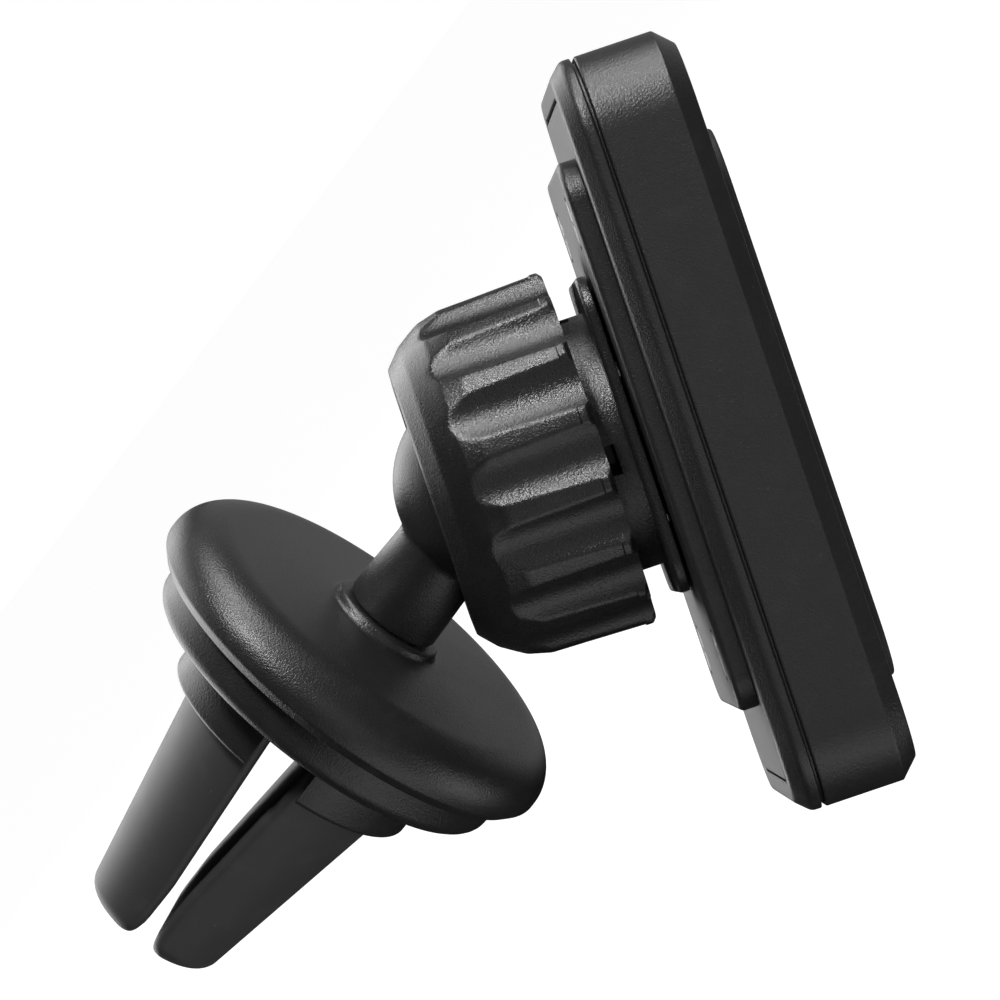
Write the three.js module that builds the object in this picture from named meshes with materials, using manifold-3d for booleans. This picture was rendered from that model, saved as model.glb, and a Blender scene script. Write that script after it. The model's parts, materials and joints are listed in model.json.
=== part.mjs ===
// Car phone mount: a vent clip with two sprung prongs, a ball joint clamped by a
// grip nut, and a magnetic head plate. Millimetres. The origin is the louvre stop
// between the prongs, +Y points into the vent, X runs along the louvre, +Z is up.
import * as THREE from "three";
import { mergeVertices } from "three/addons/utils/BufferGeometryUtils.js";
import Module from "manifold-3d";

const wasm = await Module();
wasm.setup();

// ---------------------------------------------------------------- dimensions
const GAP = 0.3; // running gap between neighbouring pieces
const CUT = 1; // how far a cutter runs past the face it opens

// Pose of the ball joint
const TILT_DEG = 36.84; // head axis from the clip axis
const SWING_DEG = -21.01; // direction of that tilt, round the clip axis
const SPIN_DEG = -28.6; // plate turned round the head axis

// Ball and stem, along the clip axis
const BALL_RADIUS = 8.5;
const BALL_TO_STOP = 24.4;
const NECK_RADIUS = 3.9;
const STEM_RADIUS = 4.1;
const JOURNAL_RADIUS = 3.0;
const SCREW_RADIUS = 1.2;

// Round disc of the clip
const DISC_RADIUS = 18.6;
const SEAM_RADIUS = DISC_RADIUS - 0.7;
const BASE_THICKNESS = 3.2;
const BASE_RADIUS = DISC_RADIUS - 2.2;
const BASE_EDGE = 1.2;
const DOME_SIDE = 1.4;
const SHOULDER_WIDTH = 4.4;
const SHOULDER_RISE = 3.6;
const CROWN_RISE = 0.3;
const BOSS_RADIUS = 4.75;
const BOSS_RISE = 0.8;
const DOME_ROOF = 1.7;
const DOME_WALL = 2.1;
const POST_RADIUS = 2.1;
const POST_OFFSET = DISC_RADIUS - 6.4;
const CLIP_SCREW_RADIUS = 0.8;
const CLIP_HEAD_RADIUS = 1.5;
const CLIP_HEAD_HEIGHT = 0.9;
const RIM_WIDTH = 0.9;
const RIM_HEIGHT = 1.4;

// Collars and prongs
const COLLAR_RADIUS = 11.5;
const COLLAR_WALL = 1.0;
const COLLAR_HEIGHT = 4.3;
const COLLAR_SLOT = 5.2;
const PRONG_LENGTH = 24.1;
const PRONG_BASE_Y = 0.9;
const PRONG_BASE_RADIUS = COLLAR_RADIUS - COLLAR_WALL - 0.25;
const PRONG_TIP_RADIUS = PRONG_BASE_RADIUS - 3.95;
const TIP_ROUND = 1.6;
const THROAT = 1.3; // narrowest gap between the prongs
const THROAT_Y = 18;
const MOUTH = 2.4; // gap at the very tips
const LEAD_IN = 2.4; // length over which the gap opens at the tips
const ROOT_OPENING = 4.1; // gap beside the louvre stop
const SLEEVE_WALL = 1.2;
const CORE_END = 2.2; // sleeve thickness over the end of a core
const ROOT_BLOCK = { x: 10.2, z: 5.2, depth: 1.9 };
const ROOT_CENTRE_Z = 5.0;

// Socket, seat and nut, along the head axis from the ball centre
const SOCKET_RADIUS = BALL_RADIUS + 0.3;
const COLLET_RADIUS = SOCKET_RADIUS + 1.85;
const FINGER_TIP_A = -3.0;
const FINGER_TIP_RADIUS = COLLET_RADIUS - 1.15;
const TAPER_END_A = 1.5;
const SEAT_RADIUS = BALL_RADIUS - 2;
const SEAT_BACK_A = BALL_RADIUS + 0.9;
const FLANGE_A = SEAT_BACK_A + 1.3;
const SLOT_WIDTH = 2.5;
const SLOT_END_A = FLANGE_A - 1.15;
const SLOT_TURN_DEG = 8;
const SPRING_BORE = 3.0;
const SPRING_THICKNESS = 0.4;
const SPRING_CONE = 0.9;
const FLANGE_SIZE = 2 * COLLET_RADIUS + 5.2;
const FLANGE_CORNER = 3;
const FLANGE_THICKNESS = 0.95;
const RING_WALL_RADIUS = COLLET_RADIUS + 0.75;
const RING_FRONT_A = -0.9;
const NUT_END_A = -5.7;
const NUT_FLOOR = 1.65;
const NUT_RIM_A = FLANGE_A - 2.1;
const NUT_RADIUS = RING_WALL_RADIUS + 3.6;
const NUT_BAND = 0.15;
const NUT_TRAVEL = 1.5; // one turn of the nut
const FLUTES = 16;
const FLUTE_DEPTH = 0.9;
const FLUTE_RADIUS = 3.1;
const FLUTE_TURN_DEG = 8;

// Bracket and plate of the head
const BRACKET = { w: 42, h: 45.6, t: 1.4, corner: 3.5 };
const BRACKET_Y = -0.7;
const PLATE = { w: 50, h: 62.4, corner: 7 };
const PLATE_Y = -1.5;
const COVER_THICKNESS = 2.1;
const COVER_CHAMFER = 1.1;
const INLAY_MARGIN = 3.0;
const INLAY_THICKNESS = 0.4;
const COVER_FLOOR = 0.8;
const HOUSING_DEPTH = 8.0;
const HOUSING_WALL = 1.6;
const HOUSING_FACE = 1.0;
const HOUSING_CHAMFER = 1.5;
const PAD = { w: PLATE.w - 12, h: PLATE.h - 16.6, t: 0.9, corner: 5 };
const PAD_Y = -1.8;
const PAD_RECESS = 0.45;
const BOSS_SPAN = { x: BRACKET.w / 2 - 5, y: BRACKET.h / 2 - 4.8 };
const TRAY_BOSS_RADIUS = 2.4;
const BRACKET_SCREW_RADIUS = 0.9;
const BRACKET_HEAD_RADIUS = 1.9;
const BRACKET_HEAD_HEIGHT = 0.7;
const BRACKET_SCREW_END = 4.6; // how far the screws run into the housing
const COLLET_SCREW_RADIUS = 0.7;
const COLLET_HEAD_RADIUS = 1.3;
const COLLET_HEAD_HEIGHT = 0.6;
const COLLET_SCREW_END = 1.6;
const YOKE = { w: 2 * BOSS_SPAN.x - 7, h: PLATE.h - 7, t: 1.0, corner: 2 };
const YOKE_SETBACK = 1.45; // from the housing's rear edge
const MAGNET = { w: YOKE.w / 2 - 1.5, h: (YOKE.h - 11) / 3 };
const MAGNET_PITCH = { x: MAGNET.w + 1.4, y: MAGNET.h + 2.5 };
const TRAY_MARGIN = 0.5;
const TRAY_FLOOR = 1.1;

// ---------------------------------------------------------------- materials
const BLACK = { color: 0x232323, roughness: 0.5, metalness: 0 };
const RUBBER = { color: 0x2b2b2b, roughness: 0.75, metalness: 0 };
const STEEL = { color: 0xa9abad, roughness: 0.35, metalness: 1 };
const MAGNET_COAT = { color: 0xb9bcc0, roughness: 0.25, metalness: 1 };
const NYLON = { color: 0xd8d6cf, roughness: 0.55, metalness: 0 };

// ---------------------------------------------------------------- solid helpers
const rad = THREE.MathUtils.degToRad;

// A closed three.js geometry as a solid with shared corners and outward faces.
function solid(geometry) {
  const bare = geometry.clone();
  bare.deleteAttribute("normal");
  bare.deleteAttribute("uv");
  const merged = mergeVertices(bare, 1e-4);
  const source = merged.index.array;
  const kept = [];
  for (let i = 0; i < source.length; i += 3) {
    const [a, b, c] = [source[i], source[i + 1], source[i + 2]];
    if (a !== b && b !== c && c !== a) kept.push(a, b, c);
  }
  const vertProperties = merged.attributes.position.array;
  if (signedVolume(vertProperties, kept) < 0) {
    for (let i = 0; i < kept.length; i += 3) {
      [kept[i + 1], kept[i + 2]] = [kept[i + 2], kept[i + 1]];
    }
  }
  const triVerts = new Uint32Array(kept);
  return new wasm.Manifold(new wasm.Mesh({ numProp: 3, vertProperties, triVerts }));
}

function signedVolume(points, triangles) {
  const corner = (i) => new THREE.Vector3().fromArray(points, 3 * triangles[i]);
  let volume = 0;
  for (let i = 0; i < triangles.length; i += 3) {
    volume += corner(i).dot(corner(i + 1).cross(corner(i + 2)));
  }
  return volume;
}

// A profile of [radius, y] corners turned round the Y axis.
function turned(profile, segments = 32) {
  const points = profile.map(([r, y]) => new THREE.Vector2(r, y));
  return solid(new THREE.LatheGeometry(points, segments));
}

// The same with [radius, a] corners turned round the head's own Z axis.
function turnedOnZ(profile, segments = 32) {
  const points = profile.map(([r, a]) => new THREE.Vector2(r, a));
  return solid(new THREE.LatheGeometry(points, segments).rotateX(Math.PI / 2));
}

function ring(inner, outer, from, to, segments) {
  const profile = [[inner, from], [outer, from], [outer, to], [inner, to], [inner, from]];
  return turned(profile, segments);
}

function disc(radius, from, to, segments = 16) {
  return turned([[0, from], [radius, from], [radius, to], [0, to]], segments);
}

function discOnZ(radius, from, to, x = 0, y = 0, segments = 12) {
  return turnedOnZ([[0, from], [radius, from], [radius, to], [0, to]], segments)
    .translate([x, y, 0]);
}

function block(w, h, d, x, y, z) {
  return solid(new THREE.BoxGeometry(w, h, d).translate(x, y, z));
}

function ball(radius, segments = 28) {
  return solid(new THREE.SphereGeometry(radius, segments, segments / 2));
}

// Points of an arc of an ellipse, as [r, y] corners.
function arc(centre, radii, fromDeg, toDeg, steps) {
  return Array.from({ length: steps + 1 }, (_, i) => {
    const angle = rad(fromDeg + ((toDeg - fromDeg) * i) / steps);
    return [centre[0] + radii[0] * Math.cos(angle), centre[1] + radii[1] * Math.sin(angle)];
  });
}

function roundedRectangle(w, h, r) {
  const shape = new THREE.Shape();
  shape.moveTo(-w / 2 + r, -h / 2);
  shape.lineTo(w / 2 - r, -h / 2);
  shape.absarc(w / 2 - r, -h / 2 + r, r, -Math.PI / 2, 0);
  shape.lineTo(w / 2, h / 2 - r);
  shape.absarc(w / 2 - r, h / 2 - r, r, 0, Math.PI / 2);
  shape.lineTo(-w / 2 + r, h / 2);
  shape.absarc(-w / 2 + r, h / 2 - r, r, Math.PI / 2, Math.PI);
  shape.lineTo(-w / 2, -h / 2 + r);
  shape.absarc(-w / 2 + r, -h / 2 + r, r, Math.PI, 1.5 * Math.PI);
  return shape;
}

// A rounded plate in the head's frame, from a = from to a = to, centred on y.
function plate({ w, h, corner }, from, to, y, steps = 4) {
  const settings = { depth: to - from, bevelEnabled: false, curveSegments: steps };
  const geometry = new THREE.ExtrudeGeometry(roundedRectangle(w, h, corner), settings);
  return solid(geometry.translate(0, y, from));
}

// A plate whose outline is chamfered all round at the end a = face.
function chamferedPlate({ w, h, corner }, face, back, chamfer, y) {
  const length = Math.abs(back - face);
  const geometry = new THREE.ExtrudeGeometry(roundedRectangle(w, h, corner), {
    depth: length,
    bevelThickness: chamfer,
    bevelSize: chamfer,
    bevelOffset: -chamfer,
    bevelSegments: 1,
    curveSegments: 4,
  });
  const from = face < back ? face + chamfer : face - chamfer - length;
  const whole = solid(geometry.translate(0, y, from));
  return whole.intersect(block(2 * w, 2 * h, length, 0, y, (face + back) / 2));
}

function union(solids) {
  return solids.reduce((whole, piece) => whole.add(piece));
}

function cut(body, ...tools) {
  return tools.reduce((left, tool) => left.subtract(tool), body);
}

// The solid as a named mesh with its own material.
function piece(name, body, finish) {
  const { vertProperties, triVerts } = body.getMesh();
  const geometry = new THREE.BufferGeometry();
  geometry.setAttribute("position", new THREE.BufferAttribute(vertProperties, 3));
  geometry.setIndex(new THREE.BufferAttribute(triVerts, 1));
  geometry.computeVertexNormals();
  const mesh = new THREE.Mesh(geometry, new THREE.MeshStandardMaterial(finish));
  mesh.name = name;
  return mesh;
}

// ---------------------------------------------------------------- clip disc
const SEAM_Y = -BASE_THICKNESS;
const DOME_EDGE_Y = SEAM_Y - GAP;
const DOME_WIDEST_Y = DOME_EDGE_Y - DOME_SIDE;
const SHOULDER_Y = DOME_WIDEST_Y - SHOULDER_RISE;
const CROWN_Y = SHOULDER_Y - CROWN_RISE;
const BOSS_TOP_Y = CROWN_Y - BOSS_RISE;
const CEILING_Y = SHOULDER_Y + DOME_ROOF;
const BALL_Y = -BALL_TO_STOP;
const POST_SIDES = [-1, 1];

function domeCover() {
  const shoulderX = DISC_RADIUS - SHOULDER_WIDTH;
  const innerWall = SEAM_RADIUS - DOME_WALL;
  const profile = [
    [JOURNAL_RADIUS + GAP, BOSS_TOP_Y],
    [JOURNAL_RADIUS + GAP, CEILING_Y],
    [innerWall, CEILING_Y],
    [innerWall, DOME_EDGE_Y],
    [SEAM_RADIUS, DOME_EDGE_Y],
    [DISC_RADIUS, DOME_EDGE_Y - 0.45 * DOME_SIDE],
    ...arc([shoulderX, DOME_WIDEST_Y], [SHOULDER_WIDTH, SHOULDER_RISE], 0, -90, 6),
    [BOSS_RADIUS + 1.2, CROWN_Y],
    [BOSS_RADIUS + 0.3, CROWN_Y - 0.3],
    [BOSS_RADIUS, BOSS_TOP_Y],
    [JOURNAL_RADIUS + GAP, BOSS_TOP_Y],
  ];
  const posts = POST_SIDES.map((side) =>
    disc(POST_RADIUS, CEILING_Y - 0.2, DOME_EDGE_Y, 12).translate([side * POST_OFFSET, 0, 0]));
  const bores = POST_SIDES.map((side) =>
    disc(CLIP_SCREW_RADIUS + GAP, CEILING_Y + 0.3, DOME_EDGE_Y + CUT, 10)
      .translate([side * POST_OFFSET, 0, 0]));
  return piece("dome_cover", cut(union([turned(profile, 36), ...posts]), ...bores), BLACK);
}

function clipBase() {
  const rimOuter = SEAM_RADIUS - DOME_WALL - GAP;
  const body = turned([
    [0, SEAM_Y],
    [rimOuter - RIM_WIDTH, SEAM_Y],
    [rimOuter - RIM_WIDTH, SEAM_Y - RIM_HEIGHT],
    [rimOuter, SEAM_Y - RIM_HEIGHT],
    [rimOuter, SEAM_Y],
    [BASE_RADIUS, SEAM_Y],
    ...arc([BASE_RADIUS - BASE_EDGE, -BASE_EDGE], [BASE_EDGE, BASE_EDGE], 0, 90, 4),
    [0, 0],
  ], 36);
  const collarInner = COLLAR_RADIUS - COLLAR_WALL;
  const collar = turned([
    [collarInner, -0.2],
    [COLLAR_RADIUS, -0.2],
    [COLLAR_RADIUS, COLLAR_HEIGHT - 0.5],
    [COLLAR_RADIUS - 0.4, COLLAR_HEIGHT],
    [collarInner, COLLAR_HEIGHT],
    [collarInner, -0.2],
  ], 36);
  const slot = block(3 * COLLAR_RADIUS, COLLAR_HEIGHT + CUT, COLLAR_SLOT,
    0, (COLLAR_HEIGHT + CUT) / 2, 0);
  const pocketDepth = ROOT_BLOCK.depth + GAP;
  const pockets = [-1, 1].map((side) =>
    block(ROOT_BLOCK.x + 2 * GAP, pocketDepth + CUT, ROOT_BLOCK.z + 2 * GAP,
      0, (CUT - pocketDepth) / 2, side * ROOT_CENTRE_Z));
  const bores = POST_SIDES.map((side) =>
    disc(CLIP_SCREW_RADIUS + GAP, SEAM_Y - CUT, CUT, 10).translate([side * POST_OFFSET, 0, 0]));
  const sinks = POST_SIDES.map((side) =>
    disc(CLIP_HEAD_RADIUS + GAP, -CLIP_HEAD_HEIGHT - GAP, CUT, 12)
      .translate([side * POST_OFFSET, 0, 0]));
  const whole = cut(body.add(cut(collar, slot)), ...pockets, ...bores, ...sinks);
  return piece("clip_base", whole, BLACK);
}

function clipScrew(name, side) {
  const head = disc(CLIP_HEAD_RADIUS, -CLIP_HEAD_HEIGHT, 0, 12);
  const shank = disc(CLIP_SCREW_RADIUS, CEILING_Y + 0.6, -CLIP_HEAD_HEIGHT + 0.1, 12);
  return piece(name, head.add(shank).translate([side * POST_OFFSET, 0, 0]), STEEL);
}

// ---------------------------------------------------------------- prongs
// Half the gap between the prongs at height y above the stop.
function gapOutline(offset, height) {
  const half = [
    [0, ROOT_OPENING / 2],
    [THROAT_Y, THROAT / 2],
    [PRONG_LENGTH - LEAD_IN, THROAT / 2],
    [PRONG_LENGTH - 0.4 * LEAD_IN, THROAT / 2 + 0.17 * (MOUTH - THROAT)],
    [PRONG_LENGTH, MOUTH / 2],
  ];
  return half.map(([y, z]) => [Math.min(y, height), z + offset]);
}

// The room on one side of the louvre gap, as a prism along X.
function prongSide(offset, from, height) {
  const far = 2 * COLLAR_RADIUS;
  const outline = gapOutline(offset, height);
  const points = [[from, outline[0][1]], ...outline.slice(1), [height, far], [from, far]];
  const shape = new THREE.Shape(points.map(([y, z]) => new THREE.Vector2(y, z)));
  const geometry = new THREE.ExtrudeGeometry(shape, { depth: 2 * far, bevelEnabled: false });
  // The shape's x becomes the part's y and its y becomes z.
  const turn = new THREE.Matrix4().makeBasis(
    new THREE.Vector3(0, 1, 0), new THREE.Vector3(0, 0, 1), new THREE.Vector3(1, 0, 0));
  return solid(geometry.applyMatrix4(turn).translate(-far, 0, 0));
}

function prongRadius(y) {
  const share = (y - PRONG_BASE_Y) / (PRONG_LENGTH - TIP_ROUND - PRONG_BASE_Y);
  return PRONG_BASE_RADIUS + (PRONG_TIP_RADIUS - PRONG_BASE_RADIUS) * share;
}

function prongCone(inset, from, to, round) {
  const end = prongRadius(to) - inset;
  return turned([
    [0, from],
    [prongRadius(from) - inset, from],
    [end, to - round],
    ...arc([end - round, to - round], [round, round], 15, 90, 3),
    [0, to],
  ], 36);
}

function prongSleeve() {
  const outer = prongCone(0, PRONG_BASE_Y, PRONG_LENGTH, TIP_ROUND)
    .intersect(prongSide(0, PRONG_BASE_Y - CUT, PRONG_LENGTH + CUT));
  const roomEnd = PRONG_LENGTH - CORE_END;
  const room = prongCone(SLEEVE_WALL, PRONG_BASE_Y - CUT, roomEnd, 0.8)
    .intersect(prongSide(SLEEVE_WALL, PRONG_BASE_Y - 2 * CUT, roomEnd));
  return outer.subtract(room);
}

function prongCore() {
  const inset = SLEEVE_WALL + GAP;
  const end = PRONG_LENGTH - CORE_END - GAP;
  const arm = prongCone(inset, PRONG_BASE_Y - 2 * GAP, end, 0.8)
    .intersect(prongSide(inset, PRONG_BASE_Y - 2 * CUT, end));
  const top = PRONG_BASE_Y - GAP;
  const root = block(ROOT_BLOCK.x, ROOT_BLOCK.depth + top, ROOT_BLOCK.z,
    0, (top - ROOT_BLOCK.depth) / 2, ROOT_CENTRE_Z);
  return arm.add(root);
}

function prong(side, turn) {
  const group = new THREE.Group();
  group.rotation.y = turn;
  group.add(piece(`prong_core_${side}`, prongCore(), BLACK));
  group.add(piece(`prong_sleeve_${side}`, prongSleeve(), RUBBER));
  return group;
}

// ---------------------------------------------------------------- ball and stem
const STEM_FOOT_Y = BOSS_TOP_Y - GAP;
const FRICTION_Y = CEILING_Y + GAP;
const FRICTION_THICKNESS = 0.4;
const JOURNAL_END_Y = FRICTION_Y + FRICTION_THICKNESS;
const STEM_WASHER_Y = JOURNAL_END_Y + GAP;
const STEM_WASHER_THICKNESS = 0.5;
const STEM_HEAD_Y = STEM_WASHER_Y + STEM_WASHER_THICKNESS + GAP;
const STEM_HEAD_HEIGHT = 0.6;
const WASHER_RADIUS = 6.0;
const STEM_BORE_DEPTH = 9.5;

function ballStem() {
  const neckDeg = THREE.MathUtils.radToDeg(Math.asin((NECK_RADIUS - 0.4) / BALL_RADIUS));
  const neckY = BALL_Y + Math.sqrt(BALL_RADIUS ** 2 - NECK_RADIUS ** 2) + 1.2;
  const boreEnd = JOURNAL_END_Y - STEM_BORE_DEPTH;
  const bore = SCREW_RADIUS + GAP;
  const body = turned([
    ...arc([0, BALL_Y], [BALL_RADIUS, BALL_RADIUS], -90, 90 - neckDeg, 12),
    [NECK_RADIUS, neckY],
    [STEM_RADIUS, STEM_FOOT_Y - 0.4],
    [STEM_RADIUS - 0.2, STEM_FOOT_Y],
    [JOURNAL_RADIUS, STEM_FOOT_Y],
    [JOURNAL_RADIUS, JOURNAL_END_Y],
    [bore, JOURNAL_END_Y],
    [bore, boreEnd],
    [0, boreEnd],
  ], 28);
  return piece("ball_stem", body, BLACK);
}

function stemFixings() {
  const friction = ring(JOURNAL_RADIUS + GAP, WASHER_RADIUS,
    FRICTION_Y, FRICTION_Y + FRICTION_THICKNESS, 20);
  const washer = ring(SCREW_RADIUS + GAP, WASHER_RADIUS,
    STEM_WASHER_Y, STEM_WASHER_Y + STEM_WASHER_THICKNESS, 20);
  const head = disc(2.4, STEM_HEAD_Y, STEM_HEAD_Y + STEM_HEAD_HEIGHT, 20);
  const shank = disc(SCREW_RADIUS, JOURNAL_END_Y - STEM_BORE_DEPTH + GAP, STEM_HEAD_Y + 0.1, 12);
  return [
    piece("friction_washer", friction, NYLON),
    piece("stem_washer", washer, STEEL),
    piece("stem_screw", head.add(shank), STEEL),
  ];
}

// ---------------------------------------------------------------- socket and nut
const FLANGE_END_A = FLANGE_A + FLANGE_THICKNESS;
const BRACKET_A = FLANGE_END_A + GAP;
const BRACKET_END_A = BRACKET_A + BRACKET.t;
const SEAT_ROOM = SEAT_RADIUS + GAP;
const SPIGOT_A = FLANGE_END_A - 0.5;

function colletScrewSpots() {
  const reach = (SEAT_ROOM + COLLET_RADIUS) / 2;
  return [45, 135, 225, 315].map((deg) => {
    const angle = rad(deg + SLOT_TURN_DEG);
    return [reach * Math.cos(angle), reach * Math.sin(angle)];
  });
}

function socketCollet() {
  const tube = turnedOnZ([
    [5, FINGER_TIP_A],
    [FINGER_TIP_RADIUS, FINGER_TIP_A],
    [COLLET_RADIUS, TAPER_END_A],
    [COLLET_RADIUS, FLANGE_END_A],
    [5, FLANGE_END_A],
    [5, FINGER_TIP_A],
  ], 36);
  const flangeOutline = { w: FLANGE_SIZE, h: FLANGE_SIZE, corner: FLANGE_CORNER };
  const flange = chamferedPlate(flangeOutline, FLANGE_A, FLANGE_END_A, 0.45, 0);
  const slots = [0, 90].map((deg) =>
    block(SLOT_WIDTH, 3 * COLLET_RADIUS, SLOT_END_A - FINGER_TIP_A + CUT,
      0, 0, (SLOT_END_A + FINGER_TIP_A - CUT) / 2).rotate([0, 0, deg + SLOT_TURN_DEG]));
  const seatRoom = discOnZ(SEAT_ROOM, 0, FLANGE_END_A + CUT, 0, 0, 28);
  const bores = colletScrewSpots().map(([x, y]) =>
    discOnZ(COLLET_SCREW_RADIUS + GAP, FLANGE_END_A - COLLET_SCREW_END - GAP,
      FLANGE_END_A + CUT, x, y, 8));
  const body = cut(tube.add(flange), ball(SOCKET_RADIUS), seatRoom, ...slots, ...bores);
  return piece("socket_collet", body, BLACK);
}

function colletScrew(name, [x, y]) {
  const headA = BRACKET_END_A - COLLET_HEAD_HEIGHT;
  const head = discOnZ(COLLET_HEAD_RADIUS, headA, BRACKET_END_A, x, y);
  const shank = discOnZ(COLLET_SCREW_RADIUS, FLANGE_END_A - COLLET_SCREW_END, headA + 0.1, x, y, 8);
  return piece(name, head.add(shank), STEEL);
}

function ballSeat() {
  const rimDeg = THREE.MathUtils.radToDeg(Math.acos(SEAT_RADIUS / SOCKET_RADIUS));
  const profile = [
    ...arc([0, 0], [SOCKET_RADIUS, SOCKET_RADIUS], 90, rimDeg, 8),
    [SEAT_RADIUS, SEAT_BACK_A],
    [0, SEAT_BACK_A],
  ];
  return piece("ball_seat", turnedOnZ(profile, 24), NYLON);
}

function seatSpring() {
  const low = SEAT_BACK_A + GAP;
  const profile = [
    [SEAT_RADIUS - 0.2, low],
    [SEAT_RADIUS - 0.2, low + SPRING_THICKNESS],
    [SPRING_BORE, low + SPRING_THICKNESS + SPRING_CONE],
    [SPRING_BORE, low + SPRING_CONE],
    [SEAT_RADIUS - 0.2, low],
  ];
  return piece("seat_spring", turnedOnZ(profile, 24), STEEL);
}

// Outer radius of a finger at a, and the slip ring's bore, which clears it when tight.
function fingerRadius(a) {
  const share = (a - FINGER_TIP_A) / (TAPER_END_A - FINGER_TIP_A);
  return FINGER_TIP_RADIUS + (COLLET_RADIUS - FINGER_TIP_RADIUS) * share;
}

const NUT_FLOOR_A = NUT_END_A + NUT_FLOOR;
const RING_BACK_A = NUT_FLOOR_A + GAP;

function slipRing() {
  const bore = (a) => fingerRadius(a + NUT_TRAVEL) + GAP;
  const profile = [
    [bore(RING_BACK_A), RING_BACK_A],
    [RING_WALL_RADIUS, RING_BACK_A],
    [RING_WALL_RADIUS, RING_FRONT_A],
    [bore(RING_FRONT_A), RING_FRONT_A],
    [bore(RING_BACK_A), RING_BACK_A],
  ];
  return piece("slip_ring", turnedOnZ(profile, 32), NYLON);
}

// The nut's mouth clears the stem leaning as far as it goes, and the fingers when tight.
function mouthRadius() {
  const lean = rad(TILT_DEG + 0.5);
  const stemEdge = -NUT_END_A * Math.tan(lean) + STEM_RADIUS / Math.cos(lean);
  return Math.max(stemEdge + 0.15, fingerRadius(NUT_FLOOR_A + NUT_TRAVEL) + GAP);
}

function gripNut() {
  const roomRadius = RING_WALL_RADIUS + GAP;
  const boreRadius = COLLET_RADIUS + 0.35;
  const mouth = mouthRadius();
  const body = turnedOnZ([
    [mouth, NUT_END_A],
    [mouth + 1.35, NUT_END_A + 0.05],
    [NUT_RADIUS - 2.1, NUT_END_A + 1.55],
    [NUT_RADIUS - 0.8, NUT_END_A + 3.5],
    [NUT_RADIUS - 0.25, NUT_END_A + 5.4],
    [NUT_RADIUS, NUT_RIM_A - 1.05],
    [NUT_RADIUS + NUT_BAND, NUT_RIM_A - 0.95],
    [NUT_RADIUS + NUT_BAND, NUT_RIM_A - 0.4],
    [NUT_RADIUS - 0.3, NUT_RIM_A],
    [boreRadius, NUT_RIM_A],
    [boreRadius, RING_FRONT_A + GAP],
    [roomRadius, RING_FRONT_A + GAP],
    [roomRadius, NUT_FLOOR_A],
    [mouth, NUT_FLOOR_A],
    [mouth, NUT_END_A],
  ], 36);
  const flutes = Array.from({ length: FLUTES }, (_, i) => {
    const angle = rad(FLUTE_TURN_DEG + (360 * (i + 0.5)) / FLUTES);
    const reach = NUT_RADIUS - FLUTE_DEPTH + FLUTE_RADIUS;
    return discOnZ(FLUTE_RADIUS, NUT_END_A - CUT, NUT_RIM_A + CUT,
      reach * Math.cos(angle), reach * Math.sin(angle), 12);
  });
  return piece("grip_nut", cut(body, ...flutes), BLACK);
}

// ---------------------------------------------------------------- plate of the head
const COVER_A = BRACKET_END_A + GAP;
const COVER_END_A = COVER_A + COVER_THICKNESS;
const HOUSING_A = COVER_END_A + GAP;
const FACE_A = HOUSING_A + HOUSING_DEPTH;
const INLAY_FLOOR_A = COVER_A + INLAY_THICKNESS + GAP;

function bracketScrewSpots() {
  return [[-1, 1], [1, 1], [-1, -1], [1, -1]].map(([i, j]) =>
    [i * BOSS_SPAN.x, BRACKET_Y + j * BOSS_SPAN.y]);
}

function rearBracket() {
  const body = chamferedPlate(BRACKET, BRACKET_A, BRACKET_END_A, 0.6, BRACKET_Y);
  const spigot = discOnZ(SEAT_RADIUS, SPIGOT_A, BRACKET_A + 0.1, 0, 0, 24);
  const spigotBore = discOnZ(SPRING_BORE, SPIGOT_A - CUT, BRACKET_A, 0, 0, 16);
  const colletBores = colletScrewSpots().flatMap(([x, y]) => [
    discOnZ(COLLET_SCREW_RADIUS + GAP, BRACKET_A - CUT, BRACKET_END_A + CUT, x, y, 8),
    discOnZ(COLLET_HEAD_RADIUS + GAP, BRACKET_END_A - COLLET_HEAD_HEIGHT - GAP,
      BRACKET_END_A + CUT, x, y),
  ]);
  const bores = bracketScrewSpots().flatMap(([x, y]) => [
    discOnZ(BRACKET_SCREW_RADIUS + GAP, BRACKET_A - CUT, BRACKET_END_A + CUT, x, y, 8),
    discOnZ(BRACKET_HEAD_RADIUS + GAP, BRACKET_A - CUT, BRACKET_A + BRACKET_HEAD_HEIGHT + GAP, x, y),
  ]);
  return piece("rear_bracket", cut(body.add(spigot), spigotBore, ...colletBores, ...bores), BLACK);
}

function bracketScrew(name, [x, y]) {
  const head = discOnZ(BRACKET_HEAD_RADIUS, BRACKET_A, BRACKET_A + BRACKET_HEAD_HEIGHT, x, y);
  const shank = discOnZ(BRACKET_SCREW_RADIUS, BRACKET_A + 0.3, HOUSING_A + BRACKET_SCREW_END, x, y, 8);
  return piece(name, head.add(shank), STEEL);
}

function screwHoles(from, to) {
  return bracketScrewSpots().map(([x, y]) =>
    discOnZ(BRACKET_SCREW_RADIUS + GAP, from, to, x, y, 8));
}

const INLAY = {
  w: PLATE.w - 2 * INLAY_MARGIN,
  h: PLATE.h - 2 * INLAY_MARGIN,
  corner: PLATE.corner - INLAY_MARGIN,
};

function grown({ w, h, corner }, by) {
  return { w: w + 2 * by, h: h + 2 * by, corner: corner + by };
}

function rearInlay() {
  const body = plate(INLAY, COVER_A, COVER_A + INLAY_THICKNESS, PLATE_Y);
  return piece("rear_inlay", cut(body, ...screwHoles(COVER_A - CUT, COVER_END_A)), BLACK);
}

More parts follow.
